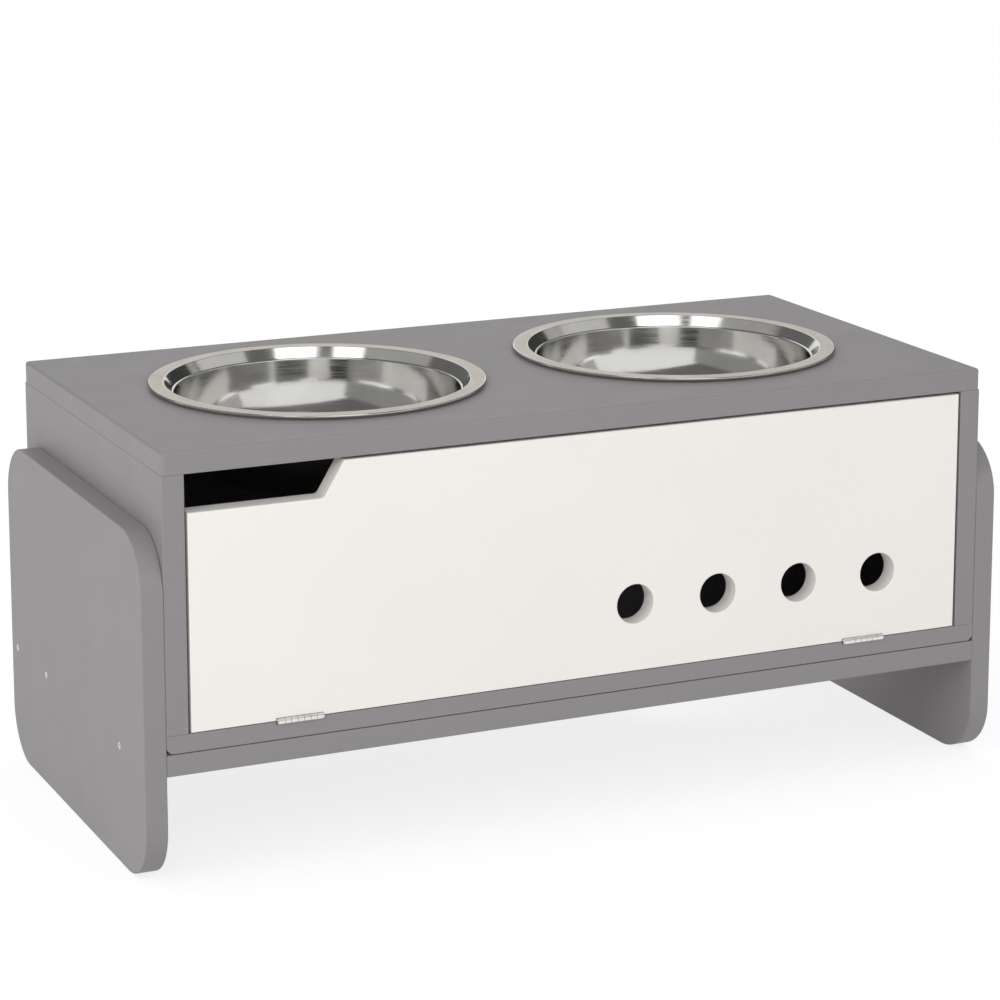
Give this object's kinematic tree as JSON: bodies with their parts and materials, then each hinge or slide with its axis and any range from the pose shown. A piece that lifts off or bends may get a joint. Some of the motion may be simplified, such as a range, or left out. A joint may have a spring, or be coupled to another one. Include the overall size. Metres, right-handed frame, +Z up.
{
  "type": "elevated dog feeder with storage",
  "caption": "Low board cabinet between two rounded leg panels, with lift-out steel bowls in its top and a drop-down storage door in front.",
  "frame": {"origin": "on the floor under the middle of the cabinet", "axes": "+X to the right seen from the front, +Y from front to back, +Z up"},
  "size_m": [0.63, 0.3026, 0.2882],
  "materials": {
    "grey_board": "grey melamine foil on fibreboard, satin",
    "white_board": "off-white melamine foil on fibreboard, satin",
    "grey_hardboard": "grey lacquered hardboard",
    "stainless": "polished stainless steel, satin brim",
    "nickel_steel": "nickel-plated steel",
    "zinc_steel": "zinc-plated steel",
    "zinc_casting": "die-cast zinc alloy",
    "beech": "plain turned beech",
    "catch_plastic": "moulded nylon",
    "ferrite": "sintered ferrite"
  },
  "bodies": {
    "cabinet": {"back_panel": "grey_hardboard", "base_board": "grey_board", "base_screws": "zinc_steel", "bottom_panel": "grey_board", "brace_screws_left": "zinc_steel", "brace_screws_right": "zinc_steel", "cam_bolts_left": "zinc_steel", "cam_bolts_right": "zinc_steel", "cam_discs_left": "zinc_casting", "cam_discs_right": "zinc_casting", "catch_housing": "catch_plastic", "catch_magnet": "ferrite", "catch_pole_plates": "zinc_steel", "catch_screws": "zinc_steel", "dowels_left": "beech", "dowels_right": "beech", "hinge_case_leaf_left": "nickel_steel", "hinge_case_leaf_right": "nickel_steel", "hinge_case_screws_left": "nickel_steel", "hinge_case_screws_right": "nickel_steel", "hinge_pin_left": "nickel_steel", "hinge_pin_right": "nickel_steel", "leg_panel_left": "grey_board", "leg_panel_right": "grey_board", "leg_screws_left": "zinc_steel", "leg_screws_right": "zinc_steel", "side_panel_left": "grey_board", "side_panel_right": "grey_board", "side_screws_left": "zinc_steel", "side_screws_right": "zinc_steel", "top_panel": "grey_board"},
    "door": {"door": "white_board", "strike_plate": "zinc_steel", "strike_screw": "zinc_steel", "hinge_door_leaf_left": "nickel_steel", "hinge_door_screws_left": "nickel_steel", "hinge_door_leaf_right": "nickel_steel", "hinge_door_screws_right": "nickel_steel"},
    "bowl_left": {"bowl_left": "stainless"},
    "bowl_right": {"bowl_right": "stainless"}
  },
  "joints": [
    {"name": "door_hinge", "type": "hinge", "parent": "cabinet", "child": "door", "pos_m": [0, -0.1506, 0.1002], "axis": [1, 0, 0], "range_deg": [0, 126]},
    {"name": "bowl_left_lift", "type": "slide", "parent": "cabinet", "child": "bowl_left", "axis": [0, 0, 1], "range_m": [0, 0.1]},
    {"name": "bowl_right_lift", "type": "slide", "parent": "cabinet", "child": "bowl_right", "axis": [0, 0, 1], "range_m": [0, 0.1]}
  ]
}
